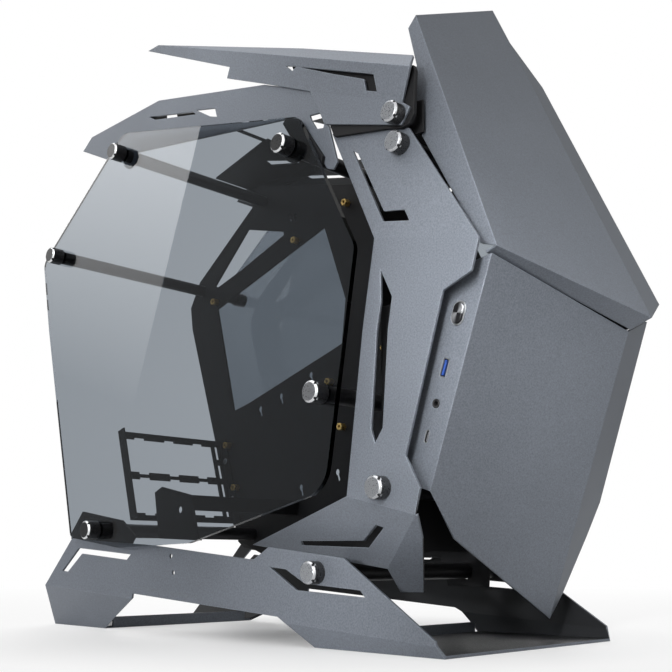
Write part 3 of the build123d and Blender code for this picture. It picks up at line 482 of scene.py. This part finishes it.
# %% Give each node its finish
SLOT_FINISH = {
    "armour_coat": armour_coat, "black_coat": black_coat, "rod_coat": rod_coat, "knob_metal": knob_metal,
    "brass": brass_metal, "button_metal": button_metal, "rubber": washer_rubber,
    "black_plastic": black_plastic, "jack_plastic": black_plastic, "blue_plastic": blue_plastic,
    "board": board_green, "glass": smoked_glass,
}
button_corners = [Vector(corner) for corner in nodes["power_button"].bound_box]
button_middle = sum(button_corners, Vector()) / len(button_corners)
# The button's light and dark wedges are painted reflections.
wedge_glint_cap = painted_wedge_finish("wedge_glint_cap", (0.03, 0.03, 0.032), (0.5, 0.51, 0.53), button_middle)
NODE_FINISH = {
    "power_button": wedge_glint_cap, "left_glass_knobs": black_knob, "right_glass_knobs": black_knob,
    "usb_a_shell": port_metal, "usb_c_shell": port_metal,
}
for row in frame["record"]["subparts"]:
    target = nodes[row["node"]]
    target.data.materials.clear()
    target.data.materials.append(NODE_FINISH.get(row["node"], SLOT_FINISH[row["material_slot"]]))
print("finished:", sorted(SLOT_FINISH))

# %% [markdown]
# ## Roof brace
# Through the glass, a dark form can be seen under the roof, between the rear wings. It reads as a flat
# plate with two slots, and its exact shape is a guess. Booleans could cut the slots out of a solid plate.
# Here outline and slots are drawn as rings of edges, filled in one step and thickened by an extrusion,
# which needs no cutters. The y values were measured from another zero, which is why the plate is shifted.

# %% Roof brace outline
BRACE_TOP = 0.468
BRACE_SKIN = 0.0015
BRACE_SHIFT = 0.25344
BRACE_REACH = 0.100
BRACE_HALF = [
    (0.022, -0.153), (0.051, -0.042), (BRACE_REACH, -0.042),
    (BRACE_REACH, -0.150), (0.022, -0.160), (0.022, -0.157),
]
BRACE_SLOT = [(0.0557, -0.118), (0.069, -0.113), (0.0855, -0.137), (0.081, -0.145)]


def loop_edges(mesh, points, height):
    """Closed ring of edges through the points."""
    verts = [mesh.verts.new((x, y + BRACE_SHIFT, height)) for x, y in points]
    return [mesh.edges.new((verts[i - 1], verts[i])) for i in range(len(verts))]


def mirrored(points):
    return [(-x, y) for x, y in reversed(points)]


plate = bmesh.new()
rings = loop_edges(plate, BRACE_HALF + mirrored(BRACE_HALF), BRACE_TOP)
rings += loop_edges(plate, BRACE_SLOT, BRACE_TOP)
rings += loop_edges(plate, mirrored(BRACE_SLOT), BRACE_TOP)
print("roof brace outline edges:", len(rings))

# %% Roof brace plate
bmesh.ops.triangle_fill(plate, edges=rings, use_beauty=True)
bmesh.ops.dissolve_limit(plate, angle_limit=0.01, verts=plate.verts[:], edges=plate.edges[:])
grown = bmesh.ops.extrude_face_region(plate, geom=plate.faces[:])
lower_verts = [item for item in grown["geom"] if isinstance(item, bmesh.types.BMVert)]
bmesh.ops.translate(plate, vec=(0, 0, -BRACE_SKIN), verts=lower_verts)
print("roof brace thickness in mm:", BRACE_SKIN * 1000)

# %% [markdown]
# The sides of the plate turn down against the wings. Each lip is a cube scaled to a thin bar under the
# plate's edge, and it stays inside the width that the plate already has.

# %% Roof brace lips
LIP_LENGTH = 0.104
LIP_MIDDLE = -0.096
LIP_DROP = 0.010


def mesh_object(name, shape):
    """Turn a finished bmesh into an object of that name."""
    mesh = bpy.data.meshes.new(name)
    shape.to_mesh(mesh)
    shape.free()
    return new_object(name, mesh)


for side in (-1, 1):
    lip = bmesh.ops.create_cube(plate, size=1.0)["verts"]
    middle = (side * (BRACE_REACH - BRACE_SKIN / 2), BRACE_SHIFT + LIP_MIDDLE,
              BRACE_TOP - BRACE_SKIN - LIP_DROP / 2)
    bmesh.ops.scale(plate, vec=(BRACE_SKIN, LIP_LENGTH, LIP_DROP), verts=lip)
    bmesh.ops.translate(plate, vec=middle, verts=lip)
bmesh.ops.recalc_face_normals(plate, faces=plate.faces[:])
roof_brace = mesh_object("roof_brace", plate)
roof_brace.data.materials.append(black_coat)
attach(roof_brace, "case")
print("roof brace faces:", len(roof_brace.data.polygons))

# %% [markdown]
# ## Floor
# The floor is pale, keeps the case's shadow and fades to the white of the background. A brighter lamp would
# whiten it too, but would also wash out the case. So the floor glows white for the camera and for rays that
# pass through glass, more so further out, and only faintly for mirrored rays. It lies a fifth of a
# millimetre under the feet, because two surfaces at one height render as a patchwork.

# %% Floor sheet
FLOOR_HALF = 12.0
FLOOR_DROP = 0.0002
sheet = bmesh.new()
bmesh.ops.create_grid(sheet, x_segments=1, y_segments=1, size=FLOOR_HALF)
floor = mesh_object("floor", sheet)
floor.location = (0, 0, -FLOOR_DROP)
print("floor side in m:", 2 * FLOOR_HALF)

# %% Floor paint
NEAR_SHARE = 0.8
FAR_SHARE = 0.2
MIRRORED_GLOW = 0.25
floor_paint = bpy.data.materials.new("floor_paint")
floor_paint.use_nodes = True
floor_tree = floor_paint.node_tree
paint = floor_tree.nodes["Principled BSDF"]
paint.inputs["Base Color"].default_value = (0.86, 0.86, 0.86, 1)
paint.inputs["Roughness"].default_value = 0.6
floor_place = add_node(floor_tree, "ShaderNodeTexCoord")
distance = add_node(floor_tree, "ShaderNodeVectorMath", operation="LENGTH")
floor_tree.links.new(floor_place.outputs["Object"], distance.inputs[0])
near_fade = math_node(floor_tree, "MULTIPLY",
                      ramp(floor_tree, distance.outputs["Value"], 0.01, 0.30), NEAR_SHARE)
far_fade = math_node(floor_tree, "MULTIPLY",
                     ramp(floor_tree, distance.outputs["Value"], 0.25, 1.6), FAR_SHARE)
fade = math_node(floor_tree, "ADD", near_fade, far_fade)
print("floor fade shares:", NEAR_SHARE, FAR_SHARE)

# %% Floor glow
path = add_node(floor_tree, "ShaderNodeLightPath")
mirrored_glow = math_node(floor_tree, "MULTIPLY", path.outputs["Is Glossy Ray"], MIRRORED_GLOW)
through_glass = math_node(floor_tree, "MAXIMUM", mirrored_glow, path.outputs["Is Transmission Ray"])
seen = math_node(floor_tree, "MAXIMUM", path.outputs["Is Camera Ray"], through_glass)
glow = add_node(floor_tree, "ShaderNodeEmission")
floor_mix = add_node(floor_tree, "ShaderNodeMixShader")
floor_tree.links.new(math_node(floor_tree, "MULTIPLY", fade, seen), floor_mix.inputs[0])
floor_tree.links.new(paint.outputs[0], floor_mix.inputs[1])
floor_tree.links.new(glow.outputs[0], floor_mix.inputs[2])
floor_tree.links.new(floor_mix.outputs[0], floor_tree.nodes["Material Output"].inputs["Surface"])
floor.data.materials.append(floor_paint)
print("floor paint nodes:", len(floor_tree.nodes))

# %% [markdown]
# ## World
# The world is white to the camera and through glass, and nearly dark as a lamp, so that the lamps alone
# shape the case. Glossy rays see a dim world that grows brighter towards the front, which the satin coat
# picks up as a sheen.

# %% World colours
AMBIENT_STRENGTH = 0.05
GLOSS_BASE = 0.25
GLOSS_FRONT = 0.85
world = bpy.data.worlds.new("studio")
bpy.context.scene.world = world
world.use_nodes = True
world_tree = world.node_tree
ambient = world_tree.nodes["Background"]
ambient.inputs["Color"].default_value = (1, 1, 1, 1)
ambient.inputs["Strength"].default_value = AMBIENT_STRENGTH
backdrop = add_node(world_tree, "ShaderNodeBackground")
backdrop.inputs["Color"].default_value = (1, 1, 1, 1)
backdrop.inputs["Strength"].default_value = 1.0
print("ambient strength:", AMBIENT_STRENGTH)

# %% World by kind of ray
world_path = add_node(world_tree, "ShaderNodeLightPath")
world_seen = math_node(world_tree, "MAXIMUM", world_path.outputs["Is Camera Ray"],
                       world_path.outputs["Is Transmission Ray"])
world_y = split_axes(world_tree, "Generated")["Y"]
front_part = math_node(world_tree, "MULTIPLY", ramp(world_tree, world_y, 0.1, -0.9), GLOSS_FRONT)
gloss = math_node(world_tree, "MULTIPLY", world_path.outputs["Is Glossy Ray"],
                  math_node(world_tree, "ADD", front_part, GLOSS_BASE))
world_mix = add_node(world_tree, "ShaderNodeMixShader")
world_tree.links.new(math_node(world_tree, "MAXIMUM", world_seen, gloss), world_mix.inputs[0])
world_tree.links.new(ambient.outputs[0], world_mix.inputs[1])
world_tree.links.new(backdrop.outputs[0], world_mix.inputs[2])
world_tree.links.new(world_mix.outputs[0], world_tree.nodes["World Output"].inputs["Surface"])
print("world nodes:", len(world_tree.nodes))

# %% [markdown]
# ## Lamps
# A large square lamp gives soft shadows, and a spot with a soft rim gives a pool of light that fades
# outwards. Both hang at a place and face a point on the case.

# %% Lamp helpers
CASE_MIDDLE = (0, 0, 0.25)


def hang(data, place, aim):
    """Lamp at a place, facing a point."""
    lamp = new_object(data.name, data)
    lamp.location = place
    face_along(lamp, Vector(aim) - Vector(place))
    return lamp


def softbox(name, place, size, watts, aim=CASE_MIDDLE):
    """Square area lamp."""
    data = bpy.data.lights.new(name, "AREA")
    data.size = size
    data.energy = watts
    return hang(data, place, aim)


def spot(name, place, cone, watts, aim, radius=0.05):
    """Soft-edged lamp whose pool of light fades from its middle outwards."""
    data = bpy.data.lights.new(name, "SPOT")
    data.spot_size = radians(cone)
    data.spot_blend = 1.0
    data.shadow_soft_size = radius
    data.energy = watts
    return hang(data, place, aim)


# %% [markdown]
# Three large lamps stand at the left, above and in front. A fourth fills the far side, and is hidden from
# the camera and from rays through glass, because its square would show there.

# %% Large lamps
softbox("key_lamp", (-2.1, -0.5, 1.1), size=1.6, watts=25.0)
softbox("top_lamp", (-0.5, 0.5, 2.1), size=1.6, watts=15.0)
softbox("front_lamp", (0.0, -1.0, 2.0), size=1.0, watts=3.0)
rear_fill = softbox("rear_fill", (1.7, 1.5, 1.2), size=1.6, watts=26.0)
rear_fill.visible_camera = False
rear_fill.visible_transmission = False
print("large lamps:", sum(data.type == "AREA" for data in bpy.data.lights))

# %% [markdown]
# Each narrow spot brightens one plate. They were fitted to the photograph's view, and from other sides the
# light is less even. Their powers stay low, because a narrow pool of light clips a plate to white sooner
# than a large lamp.

# %% Spots on single plates
spot("left_middle", (-1.8, -0.6, 0.45), cone=13.0, watts=60.0, aim=(-0.105, -0.17, 0.28), radius=0.10)
spot("left_low", (-1.8, -0.5, 0.2), cone=9.0, watts=80.0, aim=(-0.1, -0.09, 0.03))
spot("left_rear", (-1.8, 0.3, 0.4), cone=14.0, watts=42.0, aim=(-0.1, 0.2, 0.1))
spot("wing_light", (-1.8, 0.0, 0.7), cone=9.0, watts=45.0, aim=(-0.1, 0.04, 0.44))
spot("shield_tip", (-0.9, -1.9, 0.6), cone=12.0, watts=40.0, aim=(0.03, -0.27, 0.27), radius=0.15)
spot("lower_shield", (-1.1, -1.7, 0.25), cone=9.0, watts=12.0, aim=(-0.06, -0.22, 0.17))
spot("upper_graze", (-1.6, -0.74, 0.24), cone=12.0, watts=60.0, aim=(0.05, -0.27, 0.27), radius=0.12)
spot("lower_graze", (-1.4, -0.9, 0.85), cone=10.0, watts=135.0, aim=(0.0, -0.21, 0.13), radius=0.08)
print("spots:", sum(data.type == "SPOT" for data in bpy.data.lights))

# %% [markdown]
# ## Panel that the glass mirrors
# The left glass shows a bright slanted band with a soft top, which is the mirror image of a studio panel.
# Painting the band on the glass would slide off it in other views, so a real panel hangs behind the case,
# tilted as the band is. It dims towards one edge.

# %% Mirrored panel
PANEL_PLACE = (-0.80, 1.5, 0.95)
PANEL_AIM = (-0.80, 0.0, 0.95)
PANEL_WIDTH = 0.7
PANEL_HEIGHT = 0.9
PANEL_TILT = radians(-12.6)
panel = softbox("mirrored_panel", PANEL_PLACE, size=PANEL_WIDTH, watts=6.5, aim=PANEL_AIM)
panel.data.shape = "RECTANGLE"
panel.data.size_y = PANEL_HEIGHT
upright = panel.rotation_euler.to_matrix().to_4x4()
panel.rotation_euler = (Matrix.Rotation(PANEL_TILT, 4, "Y") @ upright).to_euler()
panel.data.use_nodes = True
panel_tree = panel.data.node_tree
panel_place = add_node(panel_tree, "ShaderNodeNewGeometry")
panel_split = add_node(panel_tree, "ShaderNodeSeparateXYZ")
panel_tree.links.new(panel_place.outputs["Parametric"], panel_split.inputs[0])
dimming = ramp(panel_tree, panel_split.outputs["Y"], 0.0, 0.8)
panel_tree.links.new(dimming, panel_tree.nodes["Emission"].inputs["Strength"])
print("panel size in m:", panel.data.size, panel.data.size_y)
